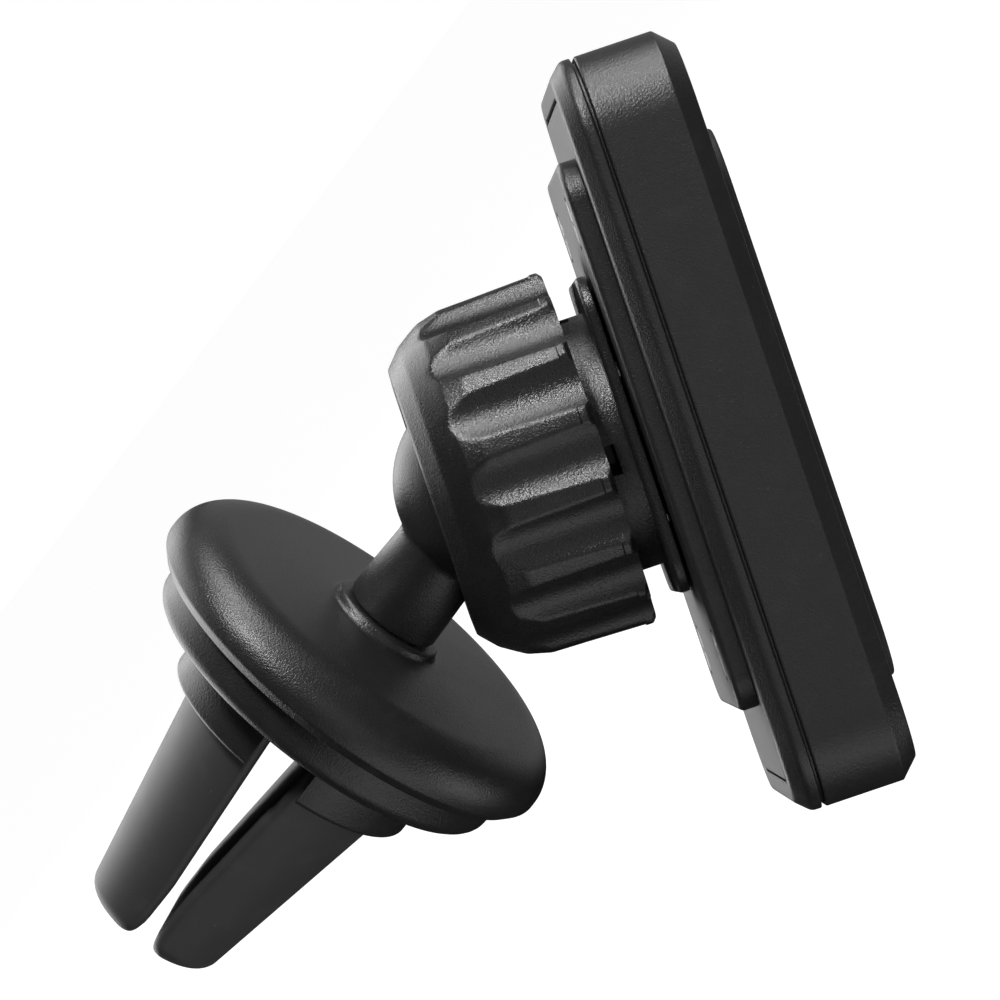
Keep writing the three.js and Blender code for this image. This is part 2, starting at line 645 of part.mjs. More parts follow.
function rearCover() {
  const body = chamferedPlate(PLATE, COVER_A, COVER_END_A, COVER_CHAMFER, PLATE_Y);
  const recess = plate(grown(INLAY, GAP), COVER_A - CUT, INLAY_FLOOR_A, PLATE_Y);
  const back = plate(grown(PLATE, -HOUSING_WALL), INLAY_FLOOR_A + COVER_FLOOR,
    COVER_END_A + CUT, PLATE_Y);
  const holes = screwHoles(COVER_A, COVER_END_A + CUT);
  return piece("rear_cover", cut(body, recess, back, ...holes), BLACK);
}

function frontHousing() {
  const body = chamferedPlate(PLATE, FACE_A, HOUSING_A, HOUSING_CHAMFER, PLATE_Y);
  const roof = FACE_A - HOUSING_FACE;
  const room = plate(grown(PLATE, -HOUSING_WALL), HOUSING_A - CUT, roof, PLATE_Y);
  const recess = plate(grown(PAD, GAP), FACE_A - PAD_RECESS, FACE_A + CUT, PAD_Y);
  const bosses = bracketScrewSpots().map(([x, y]) =>
    discOnZ(TRAY_BOSS_RADIUS, HOUSING_A + 0.4, roof + 0.1, x, y));
  const bores = bracketScrewSpots().map(([x, y]) =>
    discOnZ(BRACKET_SCREW_RADIUS + GAP, HOUSING_A - CUT, HOUSING_A + BRACKET_SCREW_END + 0.5, x, y, 8));
  return piece("front_housing", cut(union([cut(body, room), ...bosses]), recess, ...bores), BLACK);
}

function frontPad() {
  const floor = FACE_A - PAD_RECESS + GAP;
  return piece("front_pad", chamferedPlate(PAD, floor + PAD.t, floor, 0.3, PAD_Y), RUBBER);
}

const YOKE_A = HOUSING_A + YOKE_SETBACK;
const TRAY_A = YOKE_A + YOKE.t + GAP;
const TRAY_END_A = FACE_A - HOUSING_FACE - GAP;
const MAGNET_THICKNESS = TRAY_END_A - TRAY_A - GAP - TRAY_FLOOR;

function yokePlate() {
  return piece("yoke_plate", plate(YOKE, YOKE_A, YOKE_A + YOKE.t, PLATE_Y), STEEL);
}

function magnetSpots() {
  return [1, 0, -1].flatMap((row) => [-1, 1].map((column) =>
    [(column * MAGNET_PITCH.x) / 2, PLATE_Y + row * MAGNET_PITCH.y]));
}

function magnetTray() {
  const margin = HOUSING_WALL + TRAY_MARGIN;
  const body = plate(grown(PLATE, -margin), TRAY_A, TRAY_END_A, PLATE_Y);
  const pockets = magnetSpots().map(([x, y]) =>
    block(MAGNET.w + 2 * GAP, MAGNET.h + 2 * GAP, MAGNET_THICKNESS + GAP + CUT,
      x, y, TRAY_A + (MAGNET_THICKNESS + GAP - CUT) / 2));
  const bosses = bracketScrewSpots().map(([x, y]) =>
    discOnZ(TRAY_BOSS_RADIUS + GAP, TRAY_A - CUT, TRAY_END_A + CUT, x, y));
  return piece("magnet_tray", cut(body, ...pockets, ...bosses), BLACK);
}

function magnet(name, [x, y]) {
  const body = block(MAGNET.w, MAGNET.h, MAGNET_THICKNESS, x, y, TRAY_A + MAGNET_THICKNESS / 2);
  return piece(name, body, MAGNET_COAT);
}

// ---------------------------------------------------------------- assembly
const part = new THREE.Group();

part.add(domeCover(), clipBase());
part.add(clipScrew("clip_screw_left", -1), clipScrew("clip_screw_right", 1));
part.add(prong("upper", 0), prong("lower", Math.PI));
part.add(ballStem(), ...stemFixings());

// The head's frame: origin at the ball centre, +Z towards the phone, +Y up the plate.
const swing = new THREE.Group();
swing.position.y = BALL_Y;
swing.rotation.y = rad(SWING_DEG);
const tilt = new THREE.Group();
tilt.rotation.x = rad(TILT_DEG);
const face = new THREE.Group();
face.rotation.x = Math.PI / 2;
const head = new THREE.Group();
head.rotation.z = rad(SPIN_DEG);
part.add(swing);
swing.add(tilt);
tilt.add(face);
face.add(head);

head.add(ballSeat(), seatSpring(), socketCollet(), slipRing(), gripNut());
head.add(...colletScrewSpots().map((spot, i) => colletScrew(`collet_screw_${i + 1}`, spot)));
head.add(rearBracket(), rearInlay(), rearCover(), frontHousing(), frontPad());
head.add(...bracketScrewSpots().map((spot, i) => bracketScrew(`bracket_screw_${i + 1}`, spot)));
head.add(yokePlate(), magnetTray());
head.add(...magnetSpots().map((spot, i) => magnet(`magnet_${i + 1}`, spot)));

export default part;
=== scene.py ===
# Car phone mount: vent clip with two rubber prongs, ball stem, fluted grip nut and
# magnetic plate. Sizes are in millimetres and are placed in metres.
import json
import math
import bmesh
import bpy
from mathutils import Matrix, Vector


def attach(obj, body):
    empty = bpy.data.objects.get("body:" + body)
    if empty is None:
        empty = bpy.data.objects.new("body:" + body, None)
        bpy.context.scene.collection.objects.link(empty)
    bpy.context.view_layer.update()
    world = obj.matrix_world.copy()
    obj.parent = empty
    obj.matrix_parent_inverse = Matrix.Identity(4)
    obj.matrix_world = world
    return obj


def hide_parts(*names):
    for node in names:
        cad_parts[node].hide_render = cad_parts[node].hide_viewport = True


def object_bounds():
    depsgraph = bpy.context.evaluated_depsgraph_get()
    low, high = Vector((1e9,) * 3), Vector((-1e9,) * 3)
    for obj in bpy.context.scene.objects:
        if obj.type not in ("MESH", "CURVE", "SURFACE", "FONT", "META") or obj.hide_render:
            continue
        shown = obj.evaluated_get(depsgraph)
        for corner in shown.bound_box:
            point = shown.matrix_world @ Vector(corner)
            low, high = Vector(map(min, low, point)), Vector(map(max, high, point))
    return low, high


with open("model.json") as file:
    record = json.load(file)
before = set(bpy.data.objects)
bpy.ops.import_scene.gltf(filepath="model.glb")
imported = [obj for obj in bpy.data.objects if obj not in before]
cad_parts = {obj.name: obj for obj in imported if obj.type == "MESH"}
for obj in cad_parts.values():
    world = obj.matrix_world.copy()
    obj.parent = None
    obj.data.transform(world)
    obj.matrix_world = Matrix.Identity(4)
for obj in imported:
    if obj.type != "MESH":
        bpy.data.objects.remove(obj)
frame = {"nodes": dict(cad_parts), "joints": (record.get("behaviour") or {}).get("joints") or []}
cad_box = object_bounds()
scene = bpy.context.scene

MM = 0.001
joints = {joint["name"]: joint for joint in frame["joints"]}

# ---------------------------------------------------------------- places
# The clip's own axis runs along +Y; the head's runs from the ball to the phone.
TILT = math.radians(36.84)
SWING = math.radians(-21.01)
SPIN = math.radians(-28.6)
BALL_CENTRE = Vector(joints["ball_tilt"]["pos_m"])
BALL_Y = BALL_CENTRE.y / MM
CLIP = Matrix.Rotation(-math.pi / 2, 4, "X")
HEAD = (Matrix.Translation(BALL_CENTRE) @ Matrix.Rotation(SWING, 4, "Y")
        @ Matrix.Rotation(TILT + math.pi / 2, 4, "X") @ Matrix.Rotation(SPIN, 4, "Z"))

# ---------------------------------------------------------------- sizes
GAP = 0.3
BALL_RADIUS = 8.5
NECK_RADIUS = 3.9
STEM_RADIUS = 4.1
JOURNAL_RADIUS = 3.0
DISC_RADIUS = 18.6
SEAM_RADIUS = 17.9
BASE_RADIUS = 16.4
COLLAR_RADIUS = 11.5
COLLAR_HEIGHT = 4.3
COLLAR_SLOT = 5.2
PRONG_LENGTH = 24.1
PRONG_BASE = (0.9, 10.25)
PRONG_TIP = (22.5, 6.3)
SLEEVE_WALL = 1.2
TIP_ROUND = 1.25
NUT_RADIUS = 15.0
NUT_MOUTH = 9.96
NUT_BORE = 11.0
RING_ROOM = 11.7
NUT_BAND = 0.12
FLUTES = 16
FLUTE_REACH = 17.25
FLUTE_RADIUS = 3.3
FLUTE_SOFTNESS = 0.3
FLUTE_TURN = 12.0
FLUTE_FLOOR = 12.2
COLLET_RADIUS = 10.65
SOCKET_RADIUS = 8.8
SPIGOT_BORE = 6.8
FINGER_SLOT = 2.5
FINGER_LENGTH = 14.0
FINGER_TURN = 8.0
SHOULDER_WIDTH = 4.4
BOSS_RADIUS = 4.75
DOME_BORE = 3.3
RIM_RADIUS = 15.8
CLIP_SCREW_X = 12.2
SCREW_BORE = 1.5

# Levels along the clip's axis (the disc's face towards the louvre is at 0).
BASE_Y = -3.2
SEAM_Y = -3.5
WIDEST_Y = -4.9
JOURNAL_END_Y = -6.1
CEILING_Y = -6.8
SHOULDER_Y = -8.5
CROWN_Y = -8.8
BOSS_Y = -9.75
STEM_FOOT_Y = -9.9
SCREW_BORE_END_Y = -15.6

# Levels along the head's axis (the ball's centre is at 0).
NUT_END_A = -5.65
NUT_FLOOR_A = -4.05
RING_FRONT_A = -0.6
NUT_BAND_A = (7.65, 8.25)
NUT_RIM_A = 8.6
FINGER_ROOT_A = 9.55
COLLET_BACK_A = 11.2

# Plates of the head: width, height, corner, middle along the plate; then their levels.
PLATE = (50.0, 62.4, 7.0, -1.5)
INLAY = (44.0, 56.4, 4.0, -1.5)
PAD = (38.0, 45.8, 5.0, -1.8)
BRACKET = (42.0, 45.6, 3.5, -0.7)
FLANGE = (26.5, 26.5, 3.0, 0.0)
FLANGE_A = (10.7, 11.65)
BRACKET_A = (11.95, 13.67)
COVER_A = (13.65, 15.75)
HOUSING_A = (16.05, 24.05)

# Half the distances between the bracket's screws, across and along the plate.
SCREW_SPAN = (16.0, 18.0)


# ---------------------------------------------------------------- node helper
class Value:
    """A node's output that takes part in ordinary sums."""

    def __init__(self, tree, socket):
        self.tree = tree
        self.socket = socket

    def math(self, operation, *others):
        return node(self.tree, "ShaderNodeMath", {"operation": operation},
                    dict(enumerate((self, *others))))

    def __add__(self, other):
        return self.math("ADD", other)

    def __sub__(self, other):
        return self.math("SUBTRACT", other)

    def __mul__(self, other):
        return self.math("MULTIPLY", other)

    def __truediv__(self, other):
        return self.math("DIVIDE", other)

    def __rsub__(self, other):
        return node(self.tree, "ShaderNodeMath", {"operation": "SUBTRACT"}, {0: other, 1: self})

    def __rtruediv__(self, other):
        return node(self.tree, "ShaderNodeMath", {"operation": "DIVIDE"}, {0: other, 1: self})

    __radd__ = __add__
    __rmul__ = __mul__


def socket_of(sockets, key):
    if isinstance(key, int):
        return sockets[key]
    return next(s for s in sockets if s.identifier == key or (s.enabled and s.name == key))


def node(tree, kind, settings=None, inputs=None, output=0):
    """A node with its settings, then its sockets' values or links; gives one output."""
    made = tree.nodes.new(kind)
    for key, value in (settings or {}).items():
        setattr(made, key, value)
    for key, value in (inputs or {}).items():
        socket = socket_of(made.inputs, key)
        if isinstance(value, Value):
            tree.links.new(value.socket, socket)
        else:
            socket.default_value = value
    return Value(tree, socket_of(made.outputs, output)) if made.outputs else made


# ---------------------------------------------------------------- finishes
def finish(name, colour, roughness, grain_mm, grain_depth, *, spread=0.06, mottle=0.25,
           metallic=0.0, dust=0.0, stretch=None):
    """A moulded or plated surface: fine grain, slow mottling, uneven sheen, some dust."""
    material = bpy.data.materials.new(name)
    material.use_nodes = True
    tree = material.node_tree
    tree.nodes.clear()
    place = node(tree, "ShaderNodeTexCoord", output="Object")
    if stretch:
        place = node(tree, "ShaderNodeMapping", inputs={"Vector": place, "Scale": stretch},
                     output="Vector")

    def cloud(size_mm, detail, rough=0.55):
        return node(tree, "ShaderNodeTexNoise", {},
                    {"Vector": place, "Scale": 1 / (size_mm * MM), "Detail": detail,
                     "Roughness": rough}, "Fac")

    grain = cloud(grain_mm, 2.0, 0.6)
    pits = node(tree, "ShaderNodeTexVoronoi", {"feature": "F1"},
                {"Vector": place, "Scale": 1 / (1.7 * grain_mm * MM)}, "Distance")
    slow = cloud(9.0, 2.0)
    patches = cloud(2.2, 3.0)
    shade = (slow - 0.5) * mottle + (grain - 0.5) * mottle * 0.8 + 1.0
    base = node(tree, "ShaderNodeVectorMath", {"operation": "SCALE"},
                {0: colour, "Scale": shade}, "Vector")
    if dust:
        flecks = node(tree, "ShaderNodeTexVoronoi", {"feature": "F1"},
                      {"Vector": place, "Scale": 1 / (2.4 * MM)}, "Distance")
        flecks = node(tree, "ShaderNodeMapRange", {}, {"Value": flecks, "From Min": 0.07,
                      "From Max": 0.03, "To Min": 0.0, "To Max": dust}, "Result")
        film = node(tree, "ShaderNodeMapRange", {}, {"Value": patches, "From Min": 0.55,
                    "From Max": 0.8, "To Min": 0.0, "To Max": dust * 0.3}, "Result")
        base = node(tree, "ShaderNodeMix", {"data_type": "RGBA"},
                    {"Factor_Float": flecks + film, "A_Color": base,
                     "B_Color": (0.22, 0.215, 0.205, 1)}, "Result_Color")
    sheen = (patches - 0.5) * spread + (grain - 0.5) * spread + roughness
    height = grain * 0.65 + pits * 0.35
    normal = node(tree, "ShaderNodeBump", {}, {"Strength": 1.0, "Distance": grain_depth * MM,
                  "Height": height}, "Normal")
    surface = node(tree, "ShaderNodeBsdfPrincipled", {},
                   {"Base Color": base, "Roughness": sheen, "Normal": normal,
                    "Metallic": metallic}, "BSDF")
    node(tree, "ShaderNodeOutputMaterial", {}, {"Surface": surface})
    return material


SHELL = finish("satin_black_shell", (0.0115, 0.0115, 0.0118), 0.36, 0.12, 0.05, dust=0.05)
GRIP = finish("fine_grain_grip", (0.010, 0.010, 0.0102), 0.28, 0.12, 0.052, dust=0.05)
CLIP_BLACK = finish("clip_black", (0.011, 0.011, 0.0113), 0.34, 0.12, 0.05, dust=0.05)
PRONG_RUBBER = finish("prong_rubber", (0.024, 0.024, 0.0245), 0.5, 0.14, 0.012,
                      spread=0.1, dust=0.12)
PAD_RUBBER = finish("pad_rubber", (0.013, 0.013, 0.0132), 0.7, 0.22, 0.03,
                    spread=0.1, dust=0.12)
INNER_BLACK = finish("inner_black", (0.012, 0.012, 0.012), 0.5, 0.3, 0.01)
STEEL = finish("zinc_steel", (0.6, 0.61, 0.62), 0.3, 0.08, 0.002, spread=0.12, mottle=0.12,
               metallic=1.0, stretch=(1.0, 9.0, 1.0))
NICKEL = finish("nickel_plate", (0.66, 0.65, 0.61), 0.2, 0.25, 0.002, spread=0.08,
                mottle=0.06, metallic=1.0)
NYLON = finish("dark_nylon", (0.03, 0.03, 0.029), 0.45, 0.2, 0.008, mottle=0.1)


# ---------------------------------------------------------------- mesh helpers
def softened(profile, radii, steps=5, closed=False):
    """A profile with its corners rounded, and a support point beside each rounding."""
    count = len(profile)
    if not hasattr(radii, "__len__"):
        radii = [radii] * count
    result = []
    for i, point in enumerate(profile):
        here = Vector(point)
        if not closed and i in (0, count - 1):
            result.append(here)
            continue
        back = Vector(profile[i - 1]) - here
        ahead = Vector(profile[(i + 1) % count]) - here
        turn = back.angle(ahead, math.pi)
        radius = radii[i]
        if radius <= 0 or turn > math.radians(176):
            result.append(here)
            continue
        reach = min(radius / math.tan(turn / 2), 0.42 * back.length, 0.42 * ahead.length)
        radius = reach * math.tan(turn / 2)
        start = here + back.normalized() * reach
        end = here + ahead.normalized() * reach
        centre = here + (back.normalized() + ahead.normalized()).normalized() * (
            radius / math.sin(turn / 2))
        first = math.atan2(*(start - centre).yx)
        sweep = (math.atan2(*(end - centre).yx) - first + math.pi) % (2 * math.pi) - math.pi
        room = 0.4 * min(back.length, ahead.length) - reach
        if room > 0.08:
            result.append(start + back.normalized() * min(0.2, 0.6 * room))
        for step in range(steps + 1):
            angle = first + sweep * step / steps
            result.append(centre + radius * Vector((math.cos(angle), math.sin(angle))))
        if room > 0.08:
            result.append(end + ahead.normalized() * min(0.2, 0.6 * room))
    return [tuple(p) for p in result]


def arc(centre, radii, start_deg, end_deg, steps):
    angles = [math.radians(start_deg + (end_deg - start_deg) * i / steps)
              for i in range(steps + 1)]
    return [(centre[0] + radii[0] * math.cos(t), centre[1] + radii[1] * math.sin(t))
            for t in angles]


def build(name, points, faces, place):
    """A closed piece in metres, faces outward, smooth but for its true edges."""
    mesh = bpy.data.meshes.new(name)
    mesh.from_pydata([place @ (Vector(p) * MM) for p in points], [], faces)
    work = bmesh.new()
    work.from_mesh(mesh)
    bmesh.ops.remove_doubles(work, verts=work.verts, dist=1e-7)
    bmesh.ops.recalc_face_normals(work, faces=work.faces)
    work.to_mesh(mesh)
    work.free()
    piece = bpy.data.objects.new(name, mesh)
    scene.collection.objects.link(piece)
    return shaded(piece)


def shaded(piece, angle=32):
    piece.data.polygons.foreach_set("use_smooth", [True] * len(piece.data.polygons))
    piece.data.set_sharp_from_angle(angle=math.radians(angle))
    return piece


def loft(name, rings, place, closed=False):
    """Rings of equal length joined by faces; the ends are filled unless it closes on itself."""
    size = len(rings[0])
    points = [point for ring in rings for point in ring]
    last = len(rings) if closed else len(rings) - 1
    faces = []
    for i in range(last):
        low, high = i * size, ((i + 1) % len(rings)) * size
        for j in range(size):
            k = (j + 1) % size
            faces.append((low + j, low + k, high + k, high + j))
    if not closed:
        faces.append(tuple(range(size)))
        faces.append(tuple(range(len(points) - size, len(points))))
    return build(name, points, faces, place)


def turned(name, profile, place, around=144, closed=False):
    """A profile of (radius, height) turned round the place's own Z axis."""
    angles = [2 * math.pi * j / around for j in range(around)]
    rings = [[(max(r, 0.004) * math.cos(t), max(r, 0.004) * math.sin(t), h) for t in angles]
             for r, h in profile]
    return loft(name, rings, place, closed)


def outline(shape, inset, height, per_corner=14):
    """A ring of a rounded rectangle, inset all round."""
    width, length, corner, middle = shape
    half_w, half_l = width / 2 - inset, length / 2 - inset
    radius = max(corner - inset, 0.15)
    ring = []
    for turn, sx, sy in ((0, 1, 1), (90, -1, 1), (180, -1, -1), (270, 1, -1)):
        for i in range(per_corner + 1):
            angle = math.radians(turn + 90 * i / per_corner)
            ring.append((sx * (half_w - radius) + radius * math.cos(angle),
                         sy * (half_l - radius) + radius * math.sin(angle) + middle, height))
    return ring


def plate_rings(shape, profile):
    return [outline(shape, inset, height) for inset, height in profile]


def applied(piece):
    """The piece with its modifiers made part of the mesh."""
    graph = bpy.context.evaluated_depsgraph_get()
    mesh = bpy.data.meshes.new_from_object(piece.evaluated_get(graph))
    piece.modifiers.clear()
    old, piece.data = piece.data, mesh
    bpy.data.meshes.remove(old)
    return piece


def carved(piece, cutters, edge=0.0):
    """The piece with the cutters taken out of it, and the new edges broken."""
    for cutter in cutters:
        step = piece.modifiers.new("carve", "BOOLEAN")
        step.operation = "DIFFERENCE"
        step.solver = "EXACT"
        step.object = cutter
    applied(piece)
    for cutter in cutters:
        bpy.data.objects.remove(cutter)
    if edge:
        step = piece.modifiers.new("edge", "BEVEL")
        step.width = edge * MM
        step.segments = 2
        step.limit_method = "ANGLE"
        step.angle_limit = math.radians(50)
        applied(piece)
    return shaded(piece)


def block(size, centre, place, turn=0.0):
    """A cutter in the place's own frame."""
    half = [s / 2 for s in size]
    spin = Matrix.Rotation(math.radians(turn), 4, "Z")
    ring = [(1, 1), (-1, 1), (-1, -1), (1, -1)]
    rings = [[spin @ Vector((centre[0] + x * half[0], centre[1] + y * half[1],
                             centre[2] + z * half[2])) for x, y in ring] for z in (-1, 1)]
    return loft("cutter", rings, place)


def rod(radius, low, high, x, y, place, around=40):
    shifted = place @ Matrix.Translation(Vector((x, y, 0)) * MM)
    return turned("cutter", [(radius, low), (radius, high)], shifted, around)


def settle(piece, body, material, slot, *nodes):
    """Gives the piece its finish and body, and hides the solids it stands for; the slot is not
    used.
    """
    piece.data.materials.clear()
    piece.data.materials.append(material)
    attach(piece, body)
    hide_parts(*nodes)
    return piece


# ---------------------------------------------------------------- vent clip
def dome_cover():
    shoulder = DISC_RADIUS - SHOULDER_WIDTH
    profile = [
        (DOME_BORE, CEILING_Y), (DOME_BORE, BOSS_Y), (BOSS_RADIUS, BOSS_Y),
        (BOSS_RADIUS + 0.25, CROWN_Y - 0.06), (BOSS_RADIUS + 1.45, CROWN_Y),
        (shoulder, SHOULDER_Y),
        *arc((shoulder, WIDEST_Y), (SHOULDER_WIDTH, WIDEST_Y - SHOULDER_Y), -82, 0, 16),
        (DISC_RADIUS, SEAM_Y - 0.8), (SEAM_RADIUS, SEAM_Y), (RIM_RADIUS, SEAM_Y),
        (RIM_RADIUS, CEILING_Y),
    ]
    radii = [0.1, 0.1, 0.4, 0.6, 2.0, 3.0] + [0] * 17 + [0.5, 0.12, 0.1, 0.1]
    profile = softened(profile, radii, 5, closed=True)
    return turned("dome_shell", profile, CLIP, 180, closed=True)


def clip_base():
    rim = SEAM_RADIUS - 2.1 - GAP
    profile = [
        (0, BASE_Y), (rim - 0.9, BASE_Y), (rim - 0.9, BASE_Y - 1.4), (rim, BASE_Y - 1.4),
        (rim, BASE_Y), (BASE_RADIUS, BASE_Y), (BASE_RADIUS, 0.0), (COLLAR_RADIUS, 0.0),
        (COLLAR_RADIUS, COLLAR_HEIGHT), (COLLAR_RADIUS - 1, COLLAR_HEIGHT),
        (COLLAR_RADIUS - 1, 0.0), (0, 0.0),
    ]
    radii = [0, 0.1, 0.1, 0.1, 0.1, 0.12, 1.1, 0.4, 0.4, 0.3, 0.1, 0]
    body = turned("clip_disc", softened(profile, radii, 6), CLIP, 180)
    reach = COLLAR_HEIGHT + 1
    cutters = [block((3 * COLLAR_RADIUS, COLLAR_SLOT, reach), (0, 0, reach / 2 + 0.01), CLIP)]
    for side in (-1, 1):
        cutters.append(block((10.8, 5.8, 3.2), (0, 5 * side, -0.6), CLIP))
        cutters.append(rod(1.1, -5, 1, CLIP_SCREW_X * side, 0, CLIP))
        cutters.append(rod(1.8, -1.2, 1, CLIP_SCREW_X * side, 0, CLIP))
    return carved(body, cutters, 0.15)


def prong_radius(y):
    share = (y - PRONG_BASE[0]) / (PRONG_TIP[0] - PRONG_BASE[0])
    return PRONG_BASE[1] + (PRONG_TIP[1] - PRONG_BASE[1]) * share


def half_gap(y):
    taper = 2.05 - 1.4 * min(y / 18, 1)
    flare = 0.55 * max((y - 21.7) / 2.4, 0) ** 1.5
    return taper + flare


def prong_section(radius, flat, corner, y):
    """One D-shaped ring: a flat towards the louvre, round corners and a round back."""
    corner = min(corner, 0.45 * (radius - flat))
    level = flat + corner
    reach = math.sqrt(max((radius - corner) ** 2 - level ** 2, 0.01))
    lean = math.atan2(level, reach)
    ring = [(reach * (i / 5 - 1), flat) for i in range(10)]
    for i in range(9):
        angle = -math.pi / 2 + (lean + math.pi / 2) * i / 8
        ring.append((reach + corner * math.cos(angle), level + corner * math.sin(angle)))
    for i in range(1, 48):
        angle = lean + (math.pi - 2 * lean) * i / 48
        ring.append((radius * math.cos(angle), radius * math.sin(angle)))
    for i in range(9):
        angle = math.pi - lean + (lean + math.pi / 2) * i / 8
        ring.append((corner * math.cos(angle) - reach, level + corner * math.sin(angle)))
    return [(x, -z, y) for x, z in ring]


def prong_sleeve(side):
    steps = 30
    outer, inner = [], []
    for i in range(steps + 1):
        y = PRONG_BASE[0] + (PRONG_LENGTH - TIP_ROUND - PRONG_BASE[0]) * i / steps
        outer.append(prong_section(prong_radius(y), half_gap(y), 0.75, y))
    round_steps = 9
    for i in range(1, round_steps + 1):
        angle = math.pi / 2 * i / round_steps
        y = PRONG_LENGTH - TIP_ROUND + TIP_ROUND * math.sin(angle)
        shrink = TIP_ROUND * (1 - math.cos(angle))
        radius = prong_radius(y) - shrink
        outer.append(prong_section(radius, half_gap(y) + 0.15 * shrink, 0.75, y))
    for i in range(steps + 1):
        y = PRONG_BASE[0] + (PRONG_LENGTH - 2.6 - PRONG_BASE[0]) * i / steps
        inner.append(prong_section(prong_radius(y) - SLEEVE_WALL,
                                   half_gap(y) + SLEEVE_WALL, 0.3, y))
    turn = Matrix.Rotation(0 if side == "upper" else math.pi, 4, "Y")
    return loft(f"prong_skin_{side}", inner[::-1] + outer, turn @ CLIP)


settle(dome_cover(), "clip", CLIP_BLACK, "black_plastic", "dome_cover")
settle(clip_base(), "clip", CLIP_BLACK, "black_plastic", "clip_base")
for side in ("upper", "lower"):
    settle(prong_sleeve(side), f"prong_{side}", PRONG_RUBBER, "prong_rubber",
           f"prong_sleeve_{side}")


# ---------------------------------------------------------------- ball and stem
def ball_stem():
    neck = math.degrees(math.asin((NECK_RADIUS + 0.35) / BALL_RADIUS))
    joint_y = BALL_Y + BALL_RADIUS * math.cos(math.radians(neck))
    profile = [
        *arc((0, BALL_Y), (BALL_RADIUS, BALL_RADIUS), -90, 90 - neck, 40),
        (NECK_RADIUS + 0.08, joint_y + 0.35), (NECK_RADIUS, joint_y + 0.9),
        (STEM_RADIUS, STEM_FOOT_Y - 0.35), (STEM_RADIUS - 0.15, STEM_FOOT_Y),
        (JOURNAL_RADIUS, STEM_FOOT_Y), (JOURNAL_RADIUS, JOURNAL_END_Y),
        (SCREW_BORE, JOURNAL_END_Y), (SCREW_BORE, SCREW_BORE_END_Y), (0, SCREW_BORE_END_Y),
    ]
    return turned("ball_and_stem", profile, CLIP, 128)


settle(ball_stem(), "stem", CLIP_BLACK, "black_plastic", "ball_stem")


# ---------------------------------------------------------------- grip nut
def fluted(material):
    """A tree that presses round flutes into a turned body, with softened lands."""
    tree = bpy.data.node_groups.new("flutes", "GeometryNodeTree")
    face = tree.interface
    face.new_socket("Body", in_out="INPUT", socket_type="NodeSocketGeometry")
    defaults = {"Count": FLUTES, "Reach": FLUTE_REACH, "Radius": FLUTE_RADIUS,
                "Softness": FLUTE_SOFTNESS, "Turn": 0.0}
    for label, default in defaults.items():
        made = face.new_socket(label, in_out="INPUT", socket_type="NodeSocketFloat")
        made.default_value = default
    face.new_socket("Geometry", in_out="OUTPUT", socket_type="NodeSocketGeometry")
    entry = tree.nodes.new("NodeGroupInput")
    count, reach, radius, softness, turn = (Value(tree, entry.outputs[label])
                                            for label in defaults)
    position = node(tree, "GeometryNodeInputPosition")
    parts = tree.nodes.new("ShaderNodeSeparateXYZ")
    tree.links.new(position.socket, parts.inputs[0])
    x, y, z = (Value(tree, socket) for socket in parts.outputs)
    reach, radius, softness = (size * MM for size in (reach, radius, softness))
    from_axis = (x * x + y * y).math("SQRT")
    angle = y.math("ARCTAN2", x)
    pitch = 2 * math.pi / count
    off = (((angle - turn) / pitch).math("FRACT") - 0.5) * pitch
    across = reach * off.math("SINE")
    depth = (radius * radius - across * across).math("MAXIMUM", 0.0).math("SQRT")
    channel = reach * off.math("COSINE") - depth
    pressed = from_axis.math("SMOOTH_MIN", channel, softness) / from_axis
    outside = from_axis.math("GREATER_THAN", FLUTE_FLOOR * MM)
    scale = outside * (pressed - 1.0) + 1.0
    moved = node(tree, "ShaderNodeCombineXYZ", {}, {0: x * scale, 1: y * scale, 2: z}, 0)
    shape = node(tree, "GeometryNodeSetPosition", {},
                 {"Geometry": Value(tree, entry.outputs["Body"]), "Position": moved}, 0)
    shape = node(tree, "GeometryNodeRealizeInstances", {}, {0: shape}, 0)
    shape = node(tree, "GeometryNodeSetMaterial", {}, {"Geometry": shape, "Material": material}, 0)
    exit_node = tree.nodes.new("NodeGroupOutput")
    tree.links.new(shape.socket, exit_node.inputs[0])
    return tree


def placed(piece, place):
    piece.data.transform(place)
    piece.data.update()
    return piece


